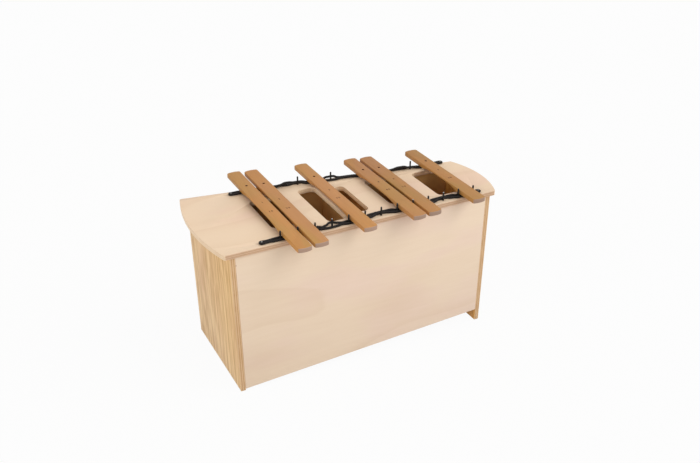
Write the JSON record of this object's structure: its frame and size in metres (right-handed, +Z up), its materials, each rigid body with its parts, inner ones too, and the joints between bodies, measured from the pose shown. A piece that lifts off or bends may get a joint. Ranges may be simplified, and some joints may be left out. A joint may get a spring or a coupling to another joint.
{
  "type": "bass xylophone",
  "caption": "Low-pitched box xylophone: wooden tone bars on double cords, held by pins on the lid of a tapered plywood resonator with open sound chambers.",
  "frame": {"origin": "on the floor, midway along the box and midway along the longest bar, at the bottom centre of the bounding box", "axes": "+Z up, +X along the box from the low notes to the high ones, +Y from the player's side to the far side"},
  "size_m": [1.104, 0.6464, 0.5875],
  "materials": {
    "plywood": "pale birch plywood, sanded and clear lacquered to a satin sheen",
    "bar_wood": "warm mid-brown hardwood, oiled, fine straight grain along the bar",
    "cord": "black cord, dull",
    "pin_rubber": "black rubber sleeve, dull",
    "black_pin": "black sheath over a steel pin, dull",
    "steel": "bright nail steel"
  },
  "bodies": {
    "resonator": {"lid": "plywood", "left_end_panel": "plywood", "right_end_panel": "plywood", "front_panel": "plywood", "back_panel": "plywood", "bottom_panel": "plywood", "partition_1": "plywood", "partition_2": "plywood", "partition_3": "plywood", "partition_4": "plywood", "front_cord": "cord", "back_cord": "cord", "front_pin_nail_01": "steel", "front_pin_nail_02": "steel", "front_pin_nail_03": "steel", "front_pin_nail_04": "steel", "front_pin_nail_05": "steel", "front_pin_nail_06": "steel", "front_pin_nail_07": "steel", "front_pin_nail_08": "steel", "front_pin_nail_09": "steel", "front_pin_nail_10": "steel", "front_pin_nail_11": "steel", "front_pin_nail_12": "steel", "front_pin_nail_13": "steel", "cord_nail_01": "steel", "cord_nail_02": "steel", "cord_nail_03": "steel", "cord_nail_04": "steel", "front_pin_sleeve_01": "pin_rubber", "front_pin_sleeve_02": "pin_rubber", "front_pin_sleeve_03": "pin_rubber", "front_pin_sleeve_04": "pin_rubber", "front_pin_sleeve_05": "pin_rubber", "front_pin_sleeve_06": "pin_rubber", "front_pin_sleeve_07": "pin_rubber", "front_pin_sleeve_08": "pin_rubber", "front_pin_sleeve_09": "pin_rubber", "front_pin_sleeve_10": "pin_rubber", "front_pin_sleeve_11": "pin_rubber", "front_pin_sleeve_12": "pin_rubber", "front_pin_sleeve_13": "pin_rubber", "back_pin_01": "black_pin", "back_pin_02": "black_pin", "back_pin_03": "black_pin", "back_pin_04": "black_pin", "back_pin_05": "black_pin", "back_pin_06": "black_pin", "back_pin_07": "black_pin", "back_pin_08": "black_pin", "back_pin_09": "black_pin"},
    "bar_1": {"tone_bar_1": "bar_wood"},
    "bar_2": {"tone_bar_2": "bar_wood"},
    "bar_3": {"tone_bar_3": "bar_wood"},
    "bar_4": {"tone_bar_4": "bar_wood"},
    "bar_5": {"tone_bar_5": "bar_wood"},
    "bar_6": {"tone_bar_6": "bar_wood"}
  },
  "joints": [
    {"name": "bar_1_lift", "type": "slide", "parent": "resonator", "child": "bar_1", "axis": [0, 0, 1], "range_m": [0, 0.05]},
    {"name": "bar_2_lift", "type": "slide", "parent": "resonator", "child": "bar_2", "axis": [0, 0, 1], "range_m": [0, 0.05]},
    {"name": "bar_3_lift", "type": "slide", "parent": "resonator", "child": "bar_3", "axis": [0, 0, 1], "range_m": [0, 0.05]},
    {"name": "bar_4_lift", "type": "slide", "parent": "resonator", "child": "bar_4", "axis": [0, 0, 1], "range_m": [0, 0.05]},
    {"name": "bar_5_lift", "type": "slide", "parent": "resonator", "child": "bar_5", "axis": [0, 0, 1], "range_m": [0, 0.05]},
    {"name": "bar_6_lift", "type": "slide", "parent": "resonator", "child": "bar_6", "axis": [0, 0, 1], "range_m": [0, 0.05]}
  ]
}
